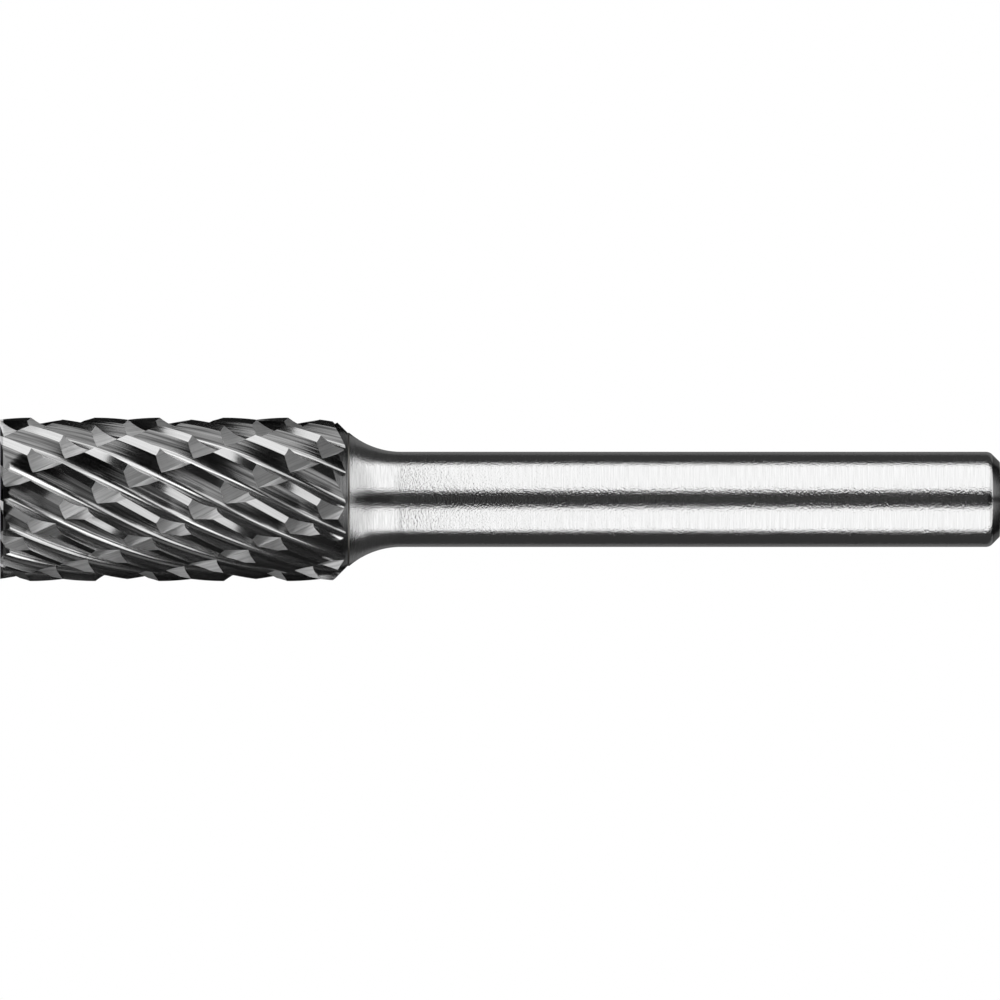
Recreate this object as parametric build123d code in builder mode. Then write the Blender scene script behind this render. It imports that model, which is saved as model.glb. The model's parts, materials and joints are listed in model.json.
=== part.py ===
"""Cylindrical double-cut carbide burr with end teeth, standing on its cutting end.

Three permanently joined pieces: a ground tungsten carbide head, a thin disc of silver
braze and a turned steel shank.  The origin is the centre of the cutting end and +Z runs
up the shank.  Lengths are in millimetres and angles in degrees.
"""
from build123d import *
import os
from math import cos, degrees, radians, sin, sqrt

# Driving dimensions: head
head_diameter = 10.3
head_length = 21.9
back_face_diameter = 8.4        # where the 45 degree back chamfer meets the braze

# Main flutes: right-hand helix, one cutting edge each
flutes = 14
flute_lead = 56.7               # axial length of one full turn
first_edge_angle = 13.2         # a cutting edge at the tip, measured from +X
land_width = 0.58               # from the cutting edge back to the heel
land_relief = 0.185             # how far the heel lies below the cutting edge
flute_root_depth = 1.25         # of the sharp root, before its radius
flute_root_radius = 0.5
flute_root_flats = 3            # narrow flats that make up that radius
rake_lean = 0.555               # from the sharp root forward to the next cutting edge

# Chip breakers: shallow left-hand vee grooves across the teeth
chip_breakers = 7
breaker_lead = 56.7
first_breaker_angle = 3.6
breaker_depth = 0.7
breaker_tip_wall = 1.52         # width of the gentle wall, towards the tip
breaker_shank_wall = 0.72       # width of the steep wall, towards the shank

# End teeth: one radial gash in front of each end cutting edge
end_gash_depth = 0.75           # at the rim, falling to nothing at the centre flat
end_gash_floor = 0.3            # width of the gash's floor
end_rake_lean = 0.1             # how far the gash's foot stands off below the edge
end_back_width = 1.15           # from the cutting edge forward to the back of the tooth
end_back_drop = 0.28            # how far that back has fallen from the end face
end_land_width = 0.22           # flat behind each end cutting edge, at the rim
end_centre_radius = 0.7         # flat left in the middle

# Braze joint and shank
braze_thickness = 0.1
shank_diameter = 6.0
shank_length = 41.0
neck_radius = 5.1               # concave sweep from the joint down to the shank
shank_end_chamfer = 0.65
shank_end_softening = 0.15      # rounding of both corners of that chamfer

# Values that follow from the driving dimensions
head_radius = head_diameter / 2
joint_radius = back_face_diameter / 2
shank_radius = shank_diameter / 2
tooth_pitch = 360 / flutes
shank_base = head_length + braze_thickness
shank_top = shank_base + shank_length
cutter_margin = 0.12 * head_radius          # cutters reach this far outside the head


def rim_angle(width):
    """Angle that this width covers along the rim of the head."""
    return degrees(width / head_radius)


def polar(radius, angle):
    """Point of a cross-section at this radius and angle."""
    return (radius * cos(radians(angle)), radius * sin(radians(angle)))


def beyond(start, through, margin):
    """Point on the line from start through the second point, this far past it."""
    length = sqrt((through[0] - start[0]) ** 2 + (through[1] - start[1]) ** 2)
    share = 1 + margin / length
    return tuple(a + (b - a) * share for a, b in zip(start, through))


def twisted(section, lead):
    """Section carried up the head, turning once in each lead (left-hand if negative)."""
    turn = 360 * head_length / lead
    return Solid.extrude_linear_with_rotation(section, (0, 0, 0), (0, 0, head_length), turn)


# Cross-section of the fluted head: cutting edge, heel and root of each tooth in turn
tooth_corners = []
for tooth in range(flutes):
    edge_angle = first_edge_angle + tooth * tooth_pitch
    heel_angle = edge_angle + rim_angle(land_width)
    root_angle = edge_angle + tooth_pitch - rim_angle(rake_lean)
    tooth_corners.append(polar(head_radius, edge_angle))
    tooth_corners.append(polar(head_radius - land_relief, heel_angle))
    tooth_corners.append(polar(head_radius - flute_root_depth, root_angle))

with BuildSketch() as rounded_section:
    with BuildLine():
        Polyline(*tooth_corners, close=True)
    make_face()
    roots = rounded_section.vertices().sort_by(SortBy.DISTANCE)[:flutes]
    fillet(roots, radius=flute_root_radius)

# Each root radius is ground as a few narrow flats, which stay light when they are twisted
section_points = []
for edge in rounded_section.wire().order_edges():
    flats = flute_root_flats if edge.geom_type == GeomType.CIRCLE else 1
    for flat in range(flats):
        section_points.append(edge @ (flat / flats))

with BuildSketch() as fluted_section:
    with BuildLine():
        Polyline(*section_points, close=True)
    make_face()

# Cross-section of one chip breaker, a vee whose walls run on outside the head
vee_root = polar(head_radius - breaker_depth, first_breaker_angle)
tip_wall_rim = polar(head_radius, first_breaker_angle - rim_angle(breaker_tip_wall))
shank_wall_rim = polar(head_radius, first_breaker_angle + rim_angle(breaker_shank_wall))

with BuildSketch() as breaker_section:
    with BuildLine():
        Polyline(
            vee_root,
            beyond(vee_root, shank_wall_rim, cutter_margin),
            polar(head_radius + 2 * cutter_margin, first_breaker_angle),
            beyond(vee_root, tip_wall_rim, 2 * cutter_margin),
            close=True,
        )
    make_face()

# One end gash: a wedge from its point at the centre flat, widening past the rim.
# Its mouth is drawn square to the end cutting edge: across the edge, then up the head.
mouth_radius = head_radius + cutter_margin
mouth_scale = (mouth_radius - end_centre_radius) / (head_radius - end_centre_radius)
pitch_width = radians(tooth_pitch) * head_radius
gash_mouth = [
    (0, -cutter_margin),
    (0, 0),
    (-end_rake_lean, end_gash_depth),
    (-end_rake_lean - end_gash_floor, end_gash_depth),
    (-end_back_width, end_back_drop),
    (end_land_width - pitch_width, 0),
    (end_land_width - pitch_width, -cutter_margin),
]

with BuildPart() as end_gash:
    with BuildSketch(Plane((mouth_radius, 0, 0), x_dir=(0, 1, 0), z_dir=(1, 0, 0))) as mouth:
        with BuildLine():
            Polyline(*[(s * mouth_scale, h * mouth_scale) for s, h in gash_mouth], close=True)
        make_face()
    loft([mouth.sketch.face(), Vertex(end_centre_radius, 0, 0)])

# Head: the twisted section with its end gashes, back chamfer and chip breakers cut in
with BuildPart() as carbide_head:
    add(twisted(fluted_section.sketch.face(), flute_lead))
    with PolarLocations(0, flutes, start_angle=first_edge_angle):
        add(end_gash.part, mode=Mode.SUBTRACT)
    with BuildSketch(Plane.XZ):
        with BuildLine():
            Polyline(
                (joint_radius - cutter_margin, head_length + cutter_margin),
                (mouth_radius, head_length + cutter_margin),
                (mouth_radius, head_length + joint_radius - mouth_radius),
                close=True,
            )
        make_face()
    revolve(axis=Axis.Z, mode=Mode.SUBTRACT)
    with PolarLocations(0, chip_breakers):
        add(twisted(breaker_section.sketch.face(), -breaker_lead), mode=Mode.SUBTRACT)
carbide_head.part.label = "carbide_head"

# Silver braze filling the butt joint
with BuildPart(Plane.XY.offset(head_length)) as braze_joint:
    Cylinder(joint_radius, braze_thickness, align=(Align.CENTER, Align.CENTER, Align.MIN))
braze_joint.part.label = "braze_joint"

# Shank: turned in one piece with its neck
neck_rise = sqrt(neck_radius**2 - (shank_radius + neck_radius - joint_radius) ** 2)

with BuildPart() as steel_shank:
    with BuildSketch(Plane.XZ):
        with BuildLine():
            neck = RadiusArc(
                (joint_radius, shank_base),
                (shank_radius, shank_base + neck_rise),
                neck_radius,
            )
            Polyline(
                neck @ 1,
                (shank_radius, shank_top - shank_end_chamfer),
                (shank_radius - shank_end_chamfer, shank_top),
                (0, shank_top),
                (0, shank_base),
                neck @ 0,
            )
        make_face()
    revolve(axis=Axis.Z)
    end_corners = steel_shank.edges().filter_by(GeomType.CIRCLE).group_by(Axis.Z)[-2:]
    fillet(end_corners[0] + end_corners[1], radius=shank_end_softening)
steel_shank.part.label = "steel_shank"

os.makedirs("parts", exist_ok=True)
export_step(carbide_head.part, "parts/carbide_head.step")
export_step(braze_joint.part, "parts/braze_joint.step")
export_step(steel_shank.part, "parts/steel_shank.step")
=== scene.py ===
"""Looks of a cylindrical double-cut carbide burr, standing on its cutting end."""
import json
import math

import bpy
import numpy as np
from mathutils import Matrix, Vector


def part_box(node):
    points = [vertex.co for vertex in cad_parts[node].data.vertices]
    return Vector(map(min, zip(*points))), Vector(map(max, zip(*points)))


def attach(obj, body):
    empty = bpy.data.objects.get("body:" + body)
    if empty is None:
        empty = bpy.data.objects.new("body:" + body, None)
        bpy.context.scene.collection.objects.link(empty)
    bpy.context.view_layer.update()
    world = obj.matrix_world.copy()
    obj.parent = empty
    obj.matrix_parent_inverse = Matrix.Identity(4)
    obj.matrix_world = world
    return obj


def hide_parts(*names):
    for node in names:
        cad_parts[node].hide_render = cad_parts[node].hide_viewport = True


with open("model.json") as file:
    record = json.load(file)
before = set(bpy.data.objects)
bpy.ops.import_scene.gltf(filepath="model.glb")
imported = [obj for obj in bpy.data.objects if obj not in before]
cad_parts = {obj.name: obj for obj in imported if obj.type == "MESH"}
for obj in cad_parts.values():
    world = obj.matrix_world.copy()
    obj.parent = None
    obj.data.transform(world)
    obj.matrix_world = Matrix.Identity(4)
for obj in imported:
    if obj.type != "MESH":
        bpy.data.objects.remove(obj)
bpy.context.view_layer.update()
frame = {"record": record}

MM = 0.001

# Sizes read from the frame, in millimetres
HEAD_HIGH = np.array(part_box("carbide_head")[1]) / MM
BRAZE_HIGH = np.array(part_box("braze_joint")[1]) / MM
SHANK_HIGH = np.array(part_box("steel_shank")[1]) / MM
HEAD_LENGTH = HEAD_HIGH[2]
JOINT_RADIUS = BRAZE_HIGH[0]
SHANK_BASE = BRAZE_HIGH[2]
SHANK_TOP = SHANK_HIGH[2]
SHANK_RADIUS = frame["record"]["mounts"][0]["dims"]["r_mm"]

# Main flutes; their roots are ground a little shallower and rounder than on the solid
HEAD_RADIUS = 5.15
FLUTES = 14
FLUTE_LEAD = 56.7
FIRST_EDGE = 13.2
LAND_WIDTH = 0.58
LAND_RELIEF = 0.185
ROOT_DEPTH = 1.025
ROOT_RADIUS = 0.52
RAKE_LEAN = 0.08
PITCH = 360 / FLUTES
FLUTE_COSINE = math.cos(math.atan(2 * math.pi * HEAD_RADIUS / FLUTE_LEAD))

# Chip breakers, as on the solid
BREAKERS = 7
BREAKER_LEAD = 56.7
FIRST_BREAKER = 3.6
BREAKER_DEPTH = 0.7
TIP_WALL = 1.52
SHANK_WALL = 0.72

# End gashes, as on the solid
GASH_DEPTH = 0.75
GASH_FLOOR = 0.3
END_RAKE_LEAN = 0.1
END_BACK_WIDTH = 1.15
END_BACK_DROP = 0.28
END_LAND = 0.22
END_CENTRE = 0.7

# Neck and shank end; the bar runs into its chamfer more softly than on the solid
NECK_RADIUS = 5.1
END_CHAMFER = 0.65
END_BLEND = 0.55                            # rounding between the bar and its chamfer
END_SOFTENING = 0.15                        # rounding between the chamfer and the end

CUTTER_MARGIN = 0.12 * HEAD_RADIUS          # cutters reach this far outside the head
HEAD_RINGS = 105
LAND_STEPS, BACK_STEPS, ROOT_STEPS, RAKE_STEPS = 3, 7, 12, 4
WALL_STEPS = 4                              # along each wall of a chip breaker
SHANK_COLUMNS = 192
NECK_POINTS, BAR_POINTS, BLEND_POINTS, RIM_POINTS = 40, 24, 13, 7
HEAD_CREASE, TURNED_CREASE = 18, 30         # degrees past which an edge stays sharp


# Mesh helpers: a shell is its points, its faces and one grinding coordinate for each face corner

def rim_angle(width):
    """Degrees that a width in millimetres covers along the rim of the head."""
    return math.degrees(width / HEAD_RADIUS)


def polar(radius, angle):
    """Point of a cross-section at this radius and this angle in degrees."""
    turn = math.radians(angle)
    return np.array([radius * math.cos(turn), radius * math.sin(turn)])


def run_lengths(points):
    """Distance from the first point to each of the others, along the run."""
    steps = np.linalg.norm(np.diff(points, axis=0), axis=1)
    return np.concatenate([[0], np.cumsum(steps)])


def wrapped_grid(rows, columns, across, along):
    """Quads of a grid that closes round its columns, with (across, along) at each corner.

    The quads face outwards where the columns run anticlockwise and the rows climb. The across
    values have one entry more than there are columns, for the far side of the last one.
    """
    row, column = np.meshgrid(np.arange(rows - 1), np.arange(columns), indexing="ij")
    corners = [(row, column), (row, column + 1), (row + 1, column + 1), (row + 1, column)]
    quads = np.stack([r * columns + c % columns for r, c in corners], -1)
    marks = np.stack([np.stack([across[c], along[r]], -1) for r, c in corners], -2)
    return quads.reshape(-1, 4), marks.reshape(-1, 2)


def joined(shells):
    """Several shells as one, the index of each face moved past the points before it."""
    starts = np.cumsum([0] + [len(points) for points, _, _ in shells])
    points = np.concatenate([points for points, _, _ in shells])
    faces = [[corner + start for corner in face] for start, (_, group, _) in zip(starts, shells)
             for face in group]
    marks = np.concatenate([marks for _, _, marks in shells])
    return points, faces, marks


def turned(shell, angle):
    """The same shell turned about the Z axis by this angle in degrees."""
    points, faces, marks = shell
    cosine, sine = math.cos(math.radians(angle)), math.sin(math.radians(angle))
    turn = np.array([[cosine, sine, 0], [-sine, cosine, 0], [0, 0, 1]])
    return points @ turn, faces, marks


def mesh_object(name, shell, material):
    """Object at the origin with this shell, whose points and grinding map are in millimetres."""
    points, faces, marks = shell
    mesh = bpy.data.meshes.new(name)
    mesh.from_pydata((points * MM).tolist(), [], [list(face) for face in faces])
    mesh.uv_layers.new(name="grinding")
    mesh.uv_layers[0].uv.foreach_set("vector", marks.astype(np.float32).ravel())
    mesh.materials.append(material)
    mesh.update()
    piece = bpy.data.objects.new(name, mesh)
    bpy.context.scene.collection.objects.link(piece)
    return piece


def twisted_bar(section, across, heights, lead):
    """A closed section turned by 360 z / lead degrees at each height z, with flat ends."""
    turn = np.radians(360 * heights / lead)[:, None]
    x = section[:, 0] * np.cos(turn) - section[:, 1] * np.sin(turn)
    y = section[:, 0] * np.sin(turn) + section[:, 1] * np.cos(turn)
    z = np.repeat(heights[:, None], len(section), axis=1)
    points = np.stack([x, y, z], -1).reshape(-1, 3)
    count = len(section)
    quads, marks = wrapped_grid(len(heights), count, across, heights / FLUTE_COSINE)
    base = np.arange(count)[::-1]
    top = np.arange(count) + (len(heights) - 1) * count
    faces = quads.tolist() + [base.tolist(), top.tolist()]
    return points, faces, np.concatenate([marks, points[base, :2], points[top, :2]])


def revolved(profile, columns):
    """A run of (radius, height) points carried round the Z axis, anticlockwise in each ring.

    Its grinding map is the distance along the profile and the distance round the widest ring.
    Where the run starts or ends on the axis, a fan of triangles closes it there.
    """
    profile = np.asarray(profile, float)
    lengths = run_lengths(profile)
    rings = profile[:, 0] > 1e-9
    radius, height = profile[rings].T
    angle = np.linspace(0, 2 * math.pi, columns + 1)
    x, y = radius[:, None] * np.cos(angle[:-1]), radius[:, None] * np.sin(angle[:-1])
    z = np.repeat(height[:, None], columns, axis=1)
    points = np.stack([x, y, z], -1).reshape(-1, 3)
    round_way = angle * radius.max()
    quads, marks = wrapped_grid(len(radius), columns, round_way, lengths[rings])
    faces, marks = quads.tolist(), [marks[:, ::-1]]
    column = np.arange(columns)
    after = (column + 1) % columns
    for at_axis, ring, order in ((0, 0, (1, 0)), (-1, len(radius) - 1, (0, 1))):
        if rings[at_axis]:
            continue
        ends = np.stack([column, after])[list(order)] + ring * columns
        faces += np.stack([np.full(columns, len(points)), *ends], -1).tolist()
        sides = np.stack([column, column + 1])[list(order)]
        fan = np.stack([np.full(columns, lengths[at_axis]), round_way[sides[0]]], -1)
        edge = [np.stack([np.full(columns, lengths[rings][at_axis]), round_way[side]], -1)
                for side in sides]
        marks.append(np.stack([fan, *edge], 1).reshape(-1, 2))
        points = np.concatenate([points, [[0, 0, profile[at_axis, 1]]]])
    return points, faces, np.concatenate(marks)


# Head

def flute_section():
    """Section of the fluted bar, and how far each of its points lies across the flutes.

    In each tooth the land drops straight from the cutting edge to the heel, the back runs
    straight down towards the root, an arc of the root radius touches both walls, and the rake
    face climbs straight to the next edge.
    """
    edge = polar(HEAD_RADIUS, FIRST_EDGE)
    heel = polar(HEAD_RADIUS - LAND_RELIEF, FIRST_EDGE + rim_angle(LAND_WIDTH))
    root = polar(HEAD_RADIUS - ROOT_DEPTH, FIRST_EDGE + PITCH - rim_angle(RAKE_LEAN))
    next_edge = polar(HEAD_RADIUS, FIRST_EDGE + PITCH)
    to_heel = (heel - root) / np.linalg.norm(heel - root)
    to_edge = (next_edge - root) / np.linalg.norm(next_edge - root)
    half = math.acos(to_heel @ to_edge) / 2
    bisector = (to_heel + to_edge) / np.linalg.norm(to_heel + to_edge)
    centre = root + bisector * ROOT_RADIUS / math.sin(half)
    back_end = root + to_heel * ROOT_RADIUS / math.tan(half)
    rake_start = root + to_edge * ROOT_RADIUS / math.tan(half)
    first = math.atan2(*(back_end - centre)[::-1])
    sweep = math.pi - 2 * half
    arc_angle = first - sweep * np.linspace(0, 1, ROOT_STEPS + 1)
    arc = centre + ROOT_RADIUS * np.stack([np.cos(arc_angle), np.sin(arc_angle)], -1)
    land = edge + (heel - edge) * np.linspace(0, 1, LAND_STEPS + 1)[:, None]
    back = heel + (back_end - heel) * np.linspace(0, 1, BACK_STEPS + 1)[:, None]
    rake = rake_start + (next_edge - rake_start) * np.linspace(0, 1, RAKE_STEPS + 1)[:, None]
    tooth = np.concatenate([land[:-1], back[:-1], arc[:-1], rake])
    turns = np.radians(np.arange(FLUTES) * PITCH)[:, None]
    x = tooth[:-1, 0] * np.cos(turns) - tooth[:-1, 1] * np.sin(turns)
    y = tooth[:-1, 0] * np.sin(turns) + tooth[:-1, 1] * np.cos(turns)
    section = np.stack([x, y], -1).reshape(-1, 2)
    across = run_lengths(np.concatenate([section, section[:1]]))
    return section, across


def breaker_cutter(heights):
    """One chip breaker's vee, twisted the other way, with its walls run on outside the head."""
    root = polar(HEAD_RADIUS - BREAKER_DEPTH, FIRST_BREAKER)
    steep = polar(HEAD_RADIUS, FIRST_BREAKER + rim_angle(SHANK_WALL)) - root
    gentle = polar(HEAD_RADIUS, FIRST_BREAKER - rim_angle(TIP_WALL)) - root
    steep *= 1 + CUTTER_MARGIN / np.linalg.norm(steep)
    gentle *= 1 + 2 * CUTTER_MARGIN / np.linalg.norm(gentle)
    outer = polar(HEAD_RADIUS + 2 * CUTTER_MARGIN, FIRST_BREAKER)
    wall_steps = np.linspace(0, 1, WALL_STEPS + 1)[:, None]
    section = np.concatenate([root + steep * wall_steps[::-1], root + gentle * wall_steps[1:],
                              [outer]])
    across = run_lengths(np.concatenate([section, section[:1]]))
    return twisted_bar(section, across, heights, -BREAKER_LEAD)


def end_gash_cutter():
    """One end gash: straight lines from a point on the centre flat to a mouth past the rim."""
    mouth_radius = HEAD_RADIUS + CUTTER_MARGIN
    mouth_scale = (mouth_radius - END_CENTRE) / (HEAD_RADIUS - END_CENTRE)
    pitch_width = math.radians(PITCH) * HEAD_RADIUS
    mouth = mouth_scale * np.array([
        (0, -CUTTER_MARGIN),
        (0, 0),
        (-END_RAKE_LEAN, GASH_DEPTH),
        (-END_RAKE_LEAN - GASH_FLOOR, GASH_DEPTH),
        (-END_BACK_WIDTH, END_BACK_DROP),
        (END_LAND - pitch_width, 0),
        (END_LAND - pitch_width, -CUTTER_MARGIN),
    ])
    count = len(mouth)
    points = np.concatenate([
        np.column_stack([np.full(count, mouth_radius), mouth]), [[END_CENTRE, 0, 0]]])
    corner = np.arange(count)
    after = (corner + 1) % count
    sides = np.stack([after, corner, np.full(count, count)], -1)
    side_way = mouth[after] - mouth
    side_way /= np.linalg.norm(side_way, axis=1)[:, None]
    near, far = (mouth * side_way).sum(1), (mouth[after] * side_way).sum(1)
    marks = np.stack([np.stack([far, np.full(count, mouth_radius)], -1),
                      np.stack([near, np.full(count, mouth_radius)], -1),
                      np.stack([np.zeros(count), np.full(count, END_CENTRE)], -1)], 1)
    faces = sides.tolist() + [corner.tolist()]
    return turned((points, faces, np.concatenate([marks.reshape(-1, 2), mouth])), FIRST_EDGE)


def chamfer_cutter():
    """The ring outside the 45 degree back chamfer: a triangle of (radius, height) revolved."""
    outer = HEAD_RADIUS + CUTTER_MARGIN
    corners = np.array([
        (JOINT_RADIUS - CUTTER_MARGIN, HEAD_LENGTH + CUTTER_MARGIN),
        (outer, HEAD_LENGTH + JOINT_RADIUS - outer),
        (outer, HEAD_LENGTH + CUTTER_MARGIN),
    ])
    columns = 2 * SHANK_COLUMNS
    angle = np.linspace(0, 2 * math.pi, columns + 1)[:-1, None]
    points = np.stack([corners[:, 0] * np.cos(angle), corners[:, 0] * np.sin(angle),
                       np.repeat(corners[None, :, 1], columns, axis=0)], -1).reshape(-1, 3)
    round_way = np.linspace(0, 2 * math.pi * HEAD_RADIUS, columns + 1)
    lengths = run_lengths(np.concatenate([corners, corners[:1]]))
    row, column = np.meshgrid(np.arange(columns), np.arange(3), indexing="ij")
    order = [(row, column), (row + 1, column), (row + 1, column + 1), (row, column + 1)]
    quads = np.stack([(r % columns) * 3 + c % 3 for r, c in order], -1).reshape(-1, 4)
    marks = np.stack([np.stack([lengths[c], round_way[r]], -1) for r, c in order], -2)
    return points, quads.tolist(), marks.reshape(-1, 2)


def carve(piece, cutters):
    """Take each cutter away from the piece; the cut faces keep the cutter's material and map."""
    for cutter in cutters:
        cut = piece.modifiers.new(cutter.name, "BOOLEAN")
        cut.operation = "DIFFERENCE"
        cut.solver = "MANIFOLD"
        cut.material_mode = "TRANSFER"
        cut.object = cutter
    depsgraph = bpy.context.evaluated_depsgraph_get()
    carved = bpy.data.meshes.new_from_object(piece.evaluated_get(depsgraph), depsgraph=depsgraph)
    piece.modifiers.clear()
    piece.data = carved
    for cutter in cutters:
        bpy.data.objects.remove(cutter)


def shade(piece, crease):
    """Smooth shading, with a sharp edge wherever two faces turn by more than this angle."""
    piece.data.shade_smooth()
    piece.data.set_sharp_from_angle(angle=math.radians(crease))


def carbide_head(flute_finish, land_finish, back_painted_shade_finish, breaker_finish, chamfer_painted_shade_finish,
                 end_painted_shade_finish):
    """The fluted bar less its end gashes, its back chamfer ring and its chip breakers."""
    section, across = flute_section()
    heights = np.linspace(0, HEAD_LENGTH, HEAD_RINGS)
    head = mesh_object("fluted_head", twisted_bar(section, across, heights, FLUTE_LEAD),
                       flute_finish)
    for finish in (land_finish, back_painted_shade_finish, end_painted_shade_finish):
        head.data.materials.append(finish)
    flute_slot, land_slot, back_slot, end_slot = range(4)
    step = np.arange((HEAD_RINGS - 1) * len(section)) % (len(section) // FLUTES)
    slots = np.full(len(head.data.polygons), end_slot, np.int32)
    slots[:len(step)] = np.select([step < LAND_STEPS, step < LAND_STEPS + BACK_STEPS],
                                  [land_slot, back_slot], flute_slot)
    head.data.polygons.foreach_set("material_index", slots)
    past_ends = np.linspace(-CUTTER_MARGIN, HEAD_LENGTH + CUTTER_MARGIN, HEAD_RINGS)
    gash, breaker = end_gash_cutter(), breaker_cutter(past_ends)
    gashes = joined([turned(gash, tooth * PITCH) for tooth in range(FLUTES)])
    breakers = joined([turned(breaker, groove * 360 / BREAKERS) for groove in range(BREAKERS)])
    carve(head, [
        mesh_object("end_gashes", gashes, end_painted_shade_finish),
        mesh_object("back_chamfer", chamfer_cutter(), chamfer_painted_shade_finish),
        mesh_object("chip_breakers", breakers, breaker_finish),
    ])
    shade(head, HEAD_CREASE)
    return head


# Braze and shank

def braze_line(finish):
    """The braze disc: (radius, height) points up its edge, softened, and in to the axis."""
    soft = 0.02
    profile = [(0, HEAD_LENGTH), (JOINT_RADIUS - soft, HEAD_LENGTH),
               (JOINT_RADIUS, HEAD_LENGTH + soft), (JOINT_RADIUS, SHANK_BASE - soft),
               (JOINT_RADIUS - soft, SHANK_BASE), (0, SHANK_BASE)]
    braze = mesh_object("braze_line", revolved(profile, SHANK_COLUMNS), finish)
    shade(braze, TURNED_CREASE)
    return braze


def rounded_corner(before, corner, after, radius, count):
    """Points of the arc that touches both straight sides of a corner of the profile."""
    before, corner, after = (np.array(point, float) for point in (before, corner, after))
    back = (before - corner) / np.linalg.norm(before - corner)
    on = (after - corner) / np.linalg.norm(after - corner)
    half = math.acos(back @ on) / 2
    centre = corner + (back + on) / np.linalg.norm(back + on) * radius / math.sin(half)
    start = corner + back * radius / math.tan(half) - centre
    side = corner + on * radius / math.tan(half) - centre
    share = np.linspace(0, 1, count)[:, None]
    sweep = math.pi - 2 * half
    arc = start * np.sin((1 - share) * sweep) + side * np.sin(share * sweep)
    return centre + arc / math.sin(sweep)


def shank_profile():
    """(radius, height) points from the joint: concave neck arc, straight bar, end chamfer.

    With them come the heights where the neck ends and where the flat of the chamfer begins.
    """
    drop = math.acos((SHANK_RADIUS + NECK_RADIUS - JOINT_RADIUS) / NECK_RADIUS)
    arc = np.linspace(drop, 0, NECK_POINTS)
    neck_top = SHANK_BASE + NECK_RADIUS * math.sin(drop)
    neck = np.stack([SHANK_RADIUS + NECK_RADIUS * (1 - np.cos(arc)),
                     neck_top - NECK_RADIUS * np.sin(arc)], -1)
    bar_end = (SHANK_RADIUS, SHANK_TOP - END_CHAMFER)
    flat_edge = (SHANK_RADIUS - END_CHAMFER, SHANK_TOP)
    upper = rounded_corner((SHANK_RADIUS, neck_top), bar_end, flat_edge, END_BLEND, BLEND_POINTS)
    rim = rounded_corner(bar_end, flat_edge, (0, SHANK_TOP), END_SOFTENING, RIM_POINTS)
    bar_heights = np.linspace(neck_top, upper[0, 1], BAR_POINTS + 2)[1:-1]
    bar = np.stack([np.full(BAR_POINTS, SHANK_RADIUS), bar_heights], -1)
    profile = np.concatenate([[(0, SHANK_BASE)], neck, bar, upper, rim, [(0, SHANK_TOP)]])
    return profile, neck_top, upper[-1, 1]


def shank(finish, neck_finish, end_painted_shade_finish):
    """The shank turned from its profile, with the turned neck in its finish and the faced end in a
    darker grey that is painted shade.
    """
    profile, neck_top, chamfer_base = shank_profile()
    piece = mesh_object("round_shank", revolved(profile, SHANK_COLUMNS), finish)
    piece.data.materials.append(neck_finish)
    piece.data.materials.append(end_painted_shade_finish)
    heights = np.empty(len(piece.data.polygons) * 3)
    piece.data.polygons.foreach_get("center", heights)
    heights = heights.reshape(-1, 3)[:, 2] / MM
    bar_slot, neck_slot, end_slot = range(3)
    slots = np.select([heights < neck_top, heights > chamfer_base], [neck_slot, end_slot], bar_slot)
    piece.data.polygons.foreach_set("material_index", slots.astype(np.int32))
    shade(piece, TURNED_CREASE)
    return piece


# Finishes: real wheel and turning marks lie 0.01 to 0.03 mm apart, too fine to show, so all
# the spacings below are drawn about five times as coarse

NOISE_RANGE = {"From Min": 0.3, "From Max": 0.7}          # where nearly all the noise lies


def linear(hex_colour):
    """Linear colour with alpha from an sRGB hex value such as "#C0C0C0"."""
    parts = np.array([int(hex_colour[i:i + 2], 16) / 255 for i in (1, 3, 5)])
    low, high = parts / 12.92, ((parts + 0.055) / 1.055) ** 2.4
    return (*np.where(parts <= 0.04045, low, high).tolist(), 1.0)


def add(tree, kind, links=None, **settings):
    """Add a node of this kind; a socket in links is joined up, any other value is set."""
    node = tree.nodes.new(kind)
    for name, value in settings.items():
        setattr(node, name, value)
    for name, value in (links or {}).items():
        if isinstance(value, bpy.types.NodeSocket):
            tree.links.new(value, node.inputs[name])
        else:
            node.inputs[name].default_value = value
    return node


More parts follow.
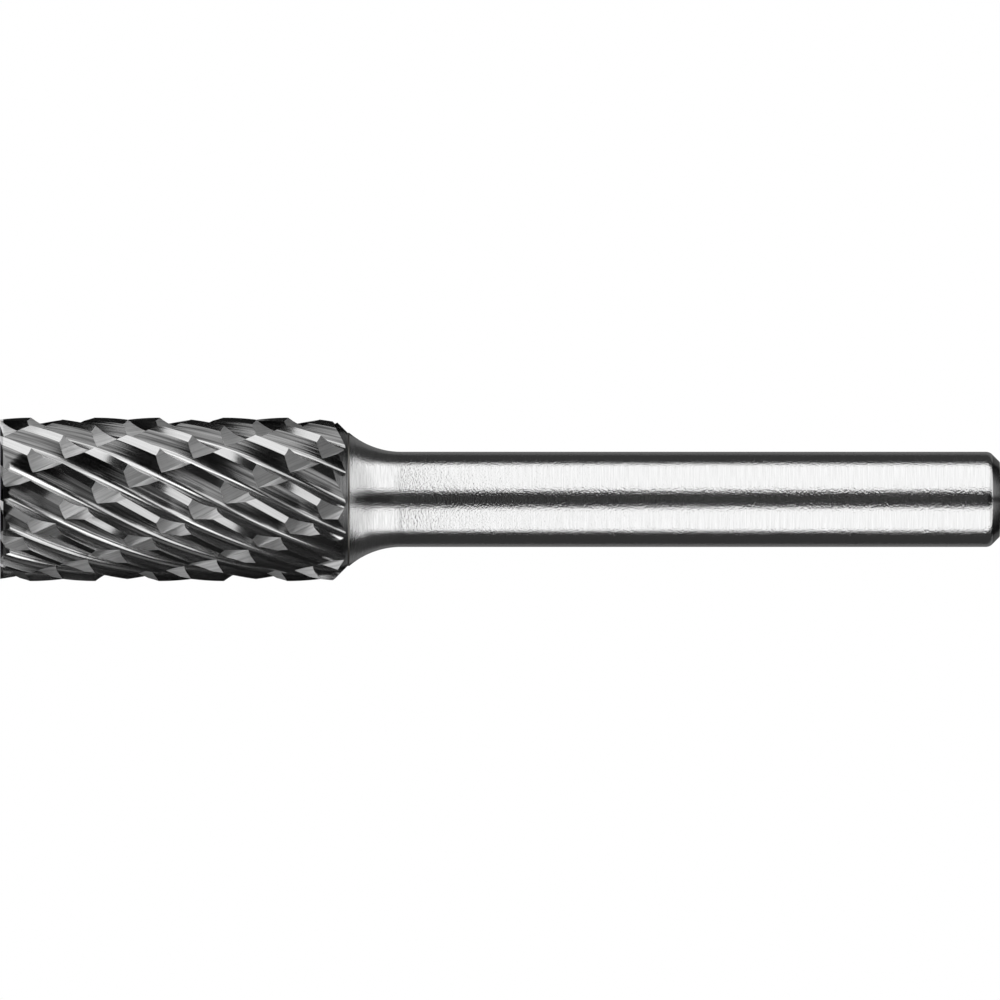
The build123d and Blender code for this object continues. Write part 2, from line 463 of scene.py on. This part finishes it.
def ground_metal(name, dark, light, roughness, spread, marks, grain):
    """A ground or turned metal with fine parallel marks, which follow the grinding map.

    Each of marks is (spacing, length, depth) in millimetres: noise stretched along the second
    axis of the map, whose heights tilt the surface. The widest marks also shift the colour
    between dark and light. Grain is (size, depth) of a fine random pit, roughness is (lowest,
    highest), and spread is how much wider the gloss is across the marks than along them.
    """
    material = bpy.data.materials.new(name)
    material.use_nodes = True
    tree = material.node_tree
    tree.nodes.clear()
    place = add(tree, "ShaderNodeUVMap", uv_map="grinding").outputs["UV"]
    object_place = add(tree, "ShaderNodeTexCoord").outputs["Object"]
    height, first = None, None
    for spacing, length, depth in marks:
        stretched = add(tree, "ShaderNodeVectorMath", {0: place, 1: (1 / spacing, 1 / length, 0)},
                        operation="MULTIPLY").outputs[0]
        lines = add(tree, "ShaderNodeTexNoise",
                    {"Vector": stretched, "Scale": 1.0, "Detail": 2.0, "Roughness": 0.55},
                    noise_dimensions="2D").outputs["Fac"]
        first = first or lines
        step = add(tree, "ShaderNodeMath", {0: lines, 1: depth * MM},
                   operation="MULTIPLY").outputs[0]
        if height is None:
            height = step
        else:
            height = add(tree, "ShaderNodeMath", {0: height, 1: step}, operation="ADD").outputs[0]
    pits = add(tree, "ShaderNodeTexNoise",
               {"Vector": object_place, "Scale": 1 / (grain[0] * MM), "Detail": 2.0}).outputs["Fac"]
    pit_depth = add(tree, "ShaderNodeMath", {0: pits, 1: grain[1] * MM},
                    operation="MULTIPLY").outputs[0]
    height = add(tree, "ShaderNodeMath", {0: height, 1: pit_depth}, operation="ADD").outputs[0]
    normal = add(tree, "ShaderNodeBump", {"Height": height, "Strength": 1.0, "Distance": 1.0})
    colour = add(tree, "ShaderNodeMix", {6: linear(dark), 7: linear(light)}, data_type="RGBA")
    share = add(tree, "ShaderNodeMapRange",
                {"Value": first, **NOISE_RANGE}).outputs["Result"]
    tree.links.new(share, colour.inputs[0])
    rough = add(tree, "ShaderNodeMapRange", {"Value": pits, **NOISE_RANGE,
                                             "To Min": roughness[0], "To Max": roughness[1]})
    across = add(tree, "ShaderNodeTangent", direction_type="UV_MAP", uv_map="grinding")
    shader = add(tree, "ShaderNodeBsdfPrincipled",
                 {"Base Color": colour.outputs[2], "Metallic": 1.0, "Anisotropic": spread,
                  "Roughness": rough.outputs["Result"], "Normal": normal.outputs["Normal"],
                  "Tangent": across.outputs["Tangent"]})
    add(tree, "ShaderNodeOutputMaterial", {"Surface": shader.outputs["BSDF"]})
    return material


# Cemented tungsten carbide, ground by a formed diamond wheel that ran along each flute: a
# clean hard metal gloss, drawn out into long pale and dark streaks down the flute
flute_ground = ground_metal(
    "diamond_ground_flutes", "#ACACAC", "#F4F4F4", (0.14, 0.20), 0.7,
    [(0.20, 8.0, 0.010), (0.10, 5.0, 0.006)], (0.05, 0.0008))
# The backs of the teeth, with heavier streaks from the coarser side of the wheel, and a darker
# colour that is painted shade deep in the flutes
back_wall_painted_shade = ground_metal(
    "tooth_backs_painted_shade", "#585858", "#A8A8A8", (0.14, 0.20), 0.7,
    [(0.20, 8.0, 0.012), (0.10, 5.0, 0.008)], (0.05, 0.0008))
# The relief behind each cutting edge, ground last with a fine wheel: bright and even
land_ground = ground_metal(
    "diamond_ground_lands", "#DADADA", "#E6E6E6", (0.12, 0.18), 0.3,
    [(0.20, 5.0, 0.002)], (0.05, 0.0004))
# The chip breakers, cut across the teeth in one deep pass: a dull mid grey with short marks
breaker_ground = ground_metal(
    "diamond_ground_breakers", "#CCCCCC", "#E8E8E8", (0.38, 0.46), 0.4,
    [(0.14, 4.0, 0.006), (0.07, 2.0, 0.003)], (0.05, 0.0008))
# The end teeth, gashed with the rim of a thin wheel: satin, in a dark grey that is painted shade in
# the gashes and on the end
end_teeth_painted_shade = ground_metal(
    "diamond_ground_end_painted_shade", "#606060", "#787878", (0.20, 0.28), 0.5,
    [(0.15, 3.0, 0.006)], (0.05, 0.0006))
# The back chamfer, ground round the head: satin with rings, in a darker grey that is painted shade
# where it turns away towards the shank
back_chamfer_painted_shade = ground_metal(
    "diamond_ground_chamfer_painted_shade", "#787878", "#A0A0A0", (0.20, 0.28), 0.5,
    [(0.12, 5.0, 0.004)], (0.05, 0.0005))

# Silver braze, turned flush with the joint: a fine line, warmer and duller than the steel
silver_braze = ground_metal(
    "silver_braze_fillet", "#989690", "#A8A6A0", (0.34, 0.44), 0.0,
    [(0.06, 1.5, 0.0008)], (0.04, 0.0006))

# Centreless-ground tool steel: near mirror bright, with hair-fine marks round the bar and
# small pits that roughen the edges of what it reflects
ground_steel = ground_metal(
    "centreless_ground_steel", "#D2D2D2", "#DADADA", (0.10, 0.15), 0.0,
    [(0.08, 3.0, 0.0004)], (0.12, 0.0150))
# The neck, turned with a round-nosed tool: softer bands with rings round them
turned_steel = ground_metal(
    "turned_steel_neck", "#CCCCCC", "#DADADA", (0.14, 0.20), 0.3,
    [(0.09, 1.6, 0.0060), (0.05, 0.9, 0.0025)], (0.10, 0.0110))
# The end and its chamfer, turned: dull, in a darker grey that is painted shade
steel_end_painted_shade = ground_metal(
    "turned_steel_end_painted_shade", "#828282", "#949494", (0.18, 0.25), 0.5,
    [(0.12, 30.0, 0.0020)], (0.06, 0.0003))

head = carbide_head(flute_ground, land_ground, back_wall_painted_shade, breaker_ground, back_chamfer_painted_shade,
                    end_teeth_painted_shade)
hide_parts("carbide_head")
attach(head, "root")
braze = braze_line(silver_braze)
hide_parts("braze_joint")
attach(braze, "root")
bar = shank(ground_steel, turned_steel, steel_end_painted_shade)
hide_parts("steel_shank")
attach(bar, "root")


# Studio: plain white surroundings, with softboxes and dark cards that only the metal sees

WHITE = (1, 1, 1, 1)
CARD_COLUMNS = 24
CARD_DISTANCE = 0.3                         # of the upright cards from the axis, in metres
NECK_LEVEL, BAR_LEVEL, BAR_CARD_TOP = 0.0219, 0.036, 0.08          # heights in metres
SOFTBOX_TOP, HOOD_TOP = 0.28, 4.0
TABLE_LEVEL = 0.0002                        # just above the floor
COLLAR_LEVEL = (SHANK_BASE + 0.8) * MM      # just above the joint
SOFTBOX = 1.36                              # strengths
HIGH_SOFTBOX = 1.0
DARK = 0.01
BLACK = 0.0

# Name, first and last angle in degrees, lowest and highest point in metres, strength
UPRIGHT_CARDS = [
    ("upper_softbox", -93, -20.5, 0.0, SOFTBOX_TOP, SOFTBOX),
    ("upper_softbox_top", -110, -24, SOFTBOX_TOP, HOOD_TOP, HIGH_SOFTBOX),
    ("front_card_head", -20.5, 20, 0.0, NECK_LEVEL, 0.02),
    ("front_card_neck", -20.5, 20, NECK_LEVEL, BAR_LEVEL, 0.045),
    ("front_card_shank", -20.5, 20, BAR_LEVEL, BAR_CARD_TOP, 0.075),
    ("front_card", -20.5, 20, BAR_CARD_TOP, SOFTBOX_TOP, 0.02),
    ("front_hood", -24, 24, SOFTBOX_TOP, HOOD_TOP, DARK),
    ("lower_softbox", 20, 83, 0.0, SOFTBOX_TOP, SOFTBOX),
    ("lower_softbox_top", 24, 98, SOFTBOX_TOP, HOOD_TOP, HIGH_SOFTBOX),
    ("side_card", 83, 140, 0.0, SOFTBOX_TOP, 0.045),
    ("rear_card", 140, 220, 0.0, SOFTBOX_TOP, 0.16),
    ("far_side_card", 220, 264, 0.0, SOFTBOX_TOP, 0.05),
    ("rear_hood", 98, 250, SOFTBOX_TOP, HOOD_TOP, DARK),
]
# Name, first and last angle in degrees, inner and outer radius and height in metres, strength
LEVEL_CARDS = [
    ("ceiling_card", -180, 180, 0.0, 0.31, HOOD_TOP, DARK),
    ("upper_table_softbox", -74, -27, 0.0, CARD_DISTANCE, TABLE_LEVEL, 1.0),
    ("front_table_card", -27, 18, 0.0, CARD_DISTANCE, TABLE_LEVEL, DARK),
    ("lower_table_card", 18, 75, 0.0, 0.022, TABLE_LEVEL, 0.25),
    ("lower_table_softbox", 18, 75, 0.022, CARD_DISTANCE, TABLE_LEVEL, 0.85),
    ("rear_table_card", 75, 278, 0.0, CARD_DISTANCE, TABLE_LEVEL, DARK),
    ("inner_collar", -180, 180, 0.0055, 0.018, COLLAR_LEVEL, BLACK),
    ("grey_collar", -70, 60, 0.018, 0.027, COLLAR_LEVEL, 0.1),
    ("rear_collar", 60, 290, 0.018, 0.027, COLLAR_LEVEL, BLACK),
    ("outer_collar", -180, 180, 0.027, 0.055, COLLAR_LEVEL, BLACK),
]


def around(start, stop, radius, height):
    """Points round the object in metres, at angles from the camera's side towards +X."""
    angle = np.radians(np.linspace(start, stop, CARD_COLUMNS + 1))
    return np.stack([radius * np.sin(angle), -radius * np.cos(angle),
                     np.full(angle.shape, height)], -1)


def card(name, first_row, last_row, strength):
    """A softbox or dark card: a strip between two rows of points, seen in reflections alone."""
    column = np.arange(CARD_COLUMNS)
    after = column + CARD_COLUMNS + 1
    faces = np.stack([column, column + 1, after + 1, after], -1)
    mesh = bpy.data.meshes.new(name)
    mesh.from_pydata(np.concatenate([first_row, last_row]).tolist(), [], faces.tolist())
    material = bpy.data.materials.new(name)
    material.use_nodes = True
    material.node_tree.nodes.clear()
    light = add(material.node_tree, "ShaderNodeEmission", {"Color": WHITE, "Strength": strength})
    add(material.node_tree, "ShaderNodeOutputMaterial", {"Surface": light.outputs["Emission"]})
    mesh.materials.append(material)
    piece = bpy.data.objects.new(name, mesh)
    piece.visible_camera = False
    piece.visible_diffuse = False
    piece.visible_shadow = False
    bpy.context.scene.collection.objects.link(piece)


for name, start, stop, low, high, strength in UPRIGHT_CARDS:
    card(name, around(start, stop, CARD_DISTANCE, low), around(start, stop, CARD_DISTANCE, high),
         strength)
for name, start, stop, inner, outer, height, strength in LEVEL_CARDS:
    card(name, around(start, stop, outer, height), around(start, stop, inner, height), strength)

# White surroundings, and a pale matt floor that keeps the burr's shadow
world = bpy.data.worlds.new("white_studio")
bpy.context.scene.world = world
world.use_nodes = True
world.cycles.sampling_method = "NONE"
world.node_tree.nodes.clear()
white = add(world.node_tree, "ShaderNodeBackground", {"Color": WHITE, "Strength": 1.0})
add(world.node_tree, "ShaderNodeOutputWorld", {"Surface": white.outputs["Background"]})

FLOOR_SIDE = 12.0                           # metres
floor_mesh = bpy.data.meshes.new("pale_floor")
floor_corners = np.array([(-1, -1, 0), (1, -1, 0), (1, 1, 0), (-1, 1, 0)]) * FLOOR_SIDE / 2
floor_mesh.from_pydata(floor_corners.tolist(), [], [(0, 1, 2, 3)])
floor = bpy.data.objects.new("pale_floor", floor_mesh)
bpy.context.scene.collection.objects.link(floor)
paint = bpy.data.materials.new("white_studio_floor")
paint.use_nodes = True
paint.node_tree.nodes.clear()
matt = add(paint.node_tree, "ShaderNodeBsdfDiffuse", {"Color": (0.9, 0.9, 0.9, 1)})
add(paint.node_tree, "ShaderNodeOutputMaterial", {"Surface": matt.outputs["BSDF"]})
floor_mesh.materials.append(paint)

# Camera: level with the floor, far enough off for a nearly parallel view, lying on its side
# and aimed at the middle of the burr, which just fills the width
CAMERA_DISTANCE = 3.0
SENSOR_WIDTH = 36
middle = SHANK_TOP * MM / 2
tilt = math.atan(middle / CAMERA_DISTANCE)
camera_data = bpy.data.cameras.new("camera")
camera_data.sensor_width = SENSOR_WIDTH
camera_data.lens = SENSOR_WIDTH * CAMERA_DISTANCE / (SHANK_TOP * MM)
camera_data.clip_end = 20                   # metres, past the far side of the floor
camera = bpy.data.objects.new("camera", camera_data)
camera.matrix_world = Matrix(((0, -1, 0, 0),
                              (-math.sin(tilt), 0, -math.cos(tilt), -CAMERA_DISTANCE),
                              (math.cos(tilt), 0, -math.sin(tilt), 0),
                              (0, 0, 0, 1)))
bpy.context.scene.collection.objects.link(camera)
bpy.context.scene.camera = camera
bpy.context.scene.view_settings.view_transform = "Standard"

bpy.context.view_layer.update()
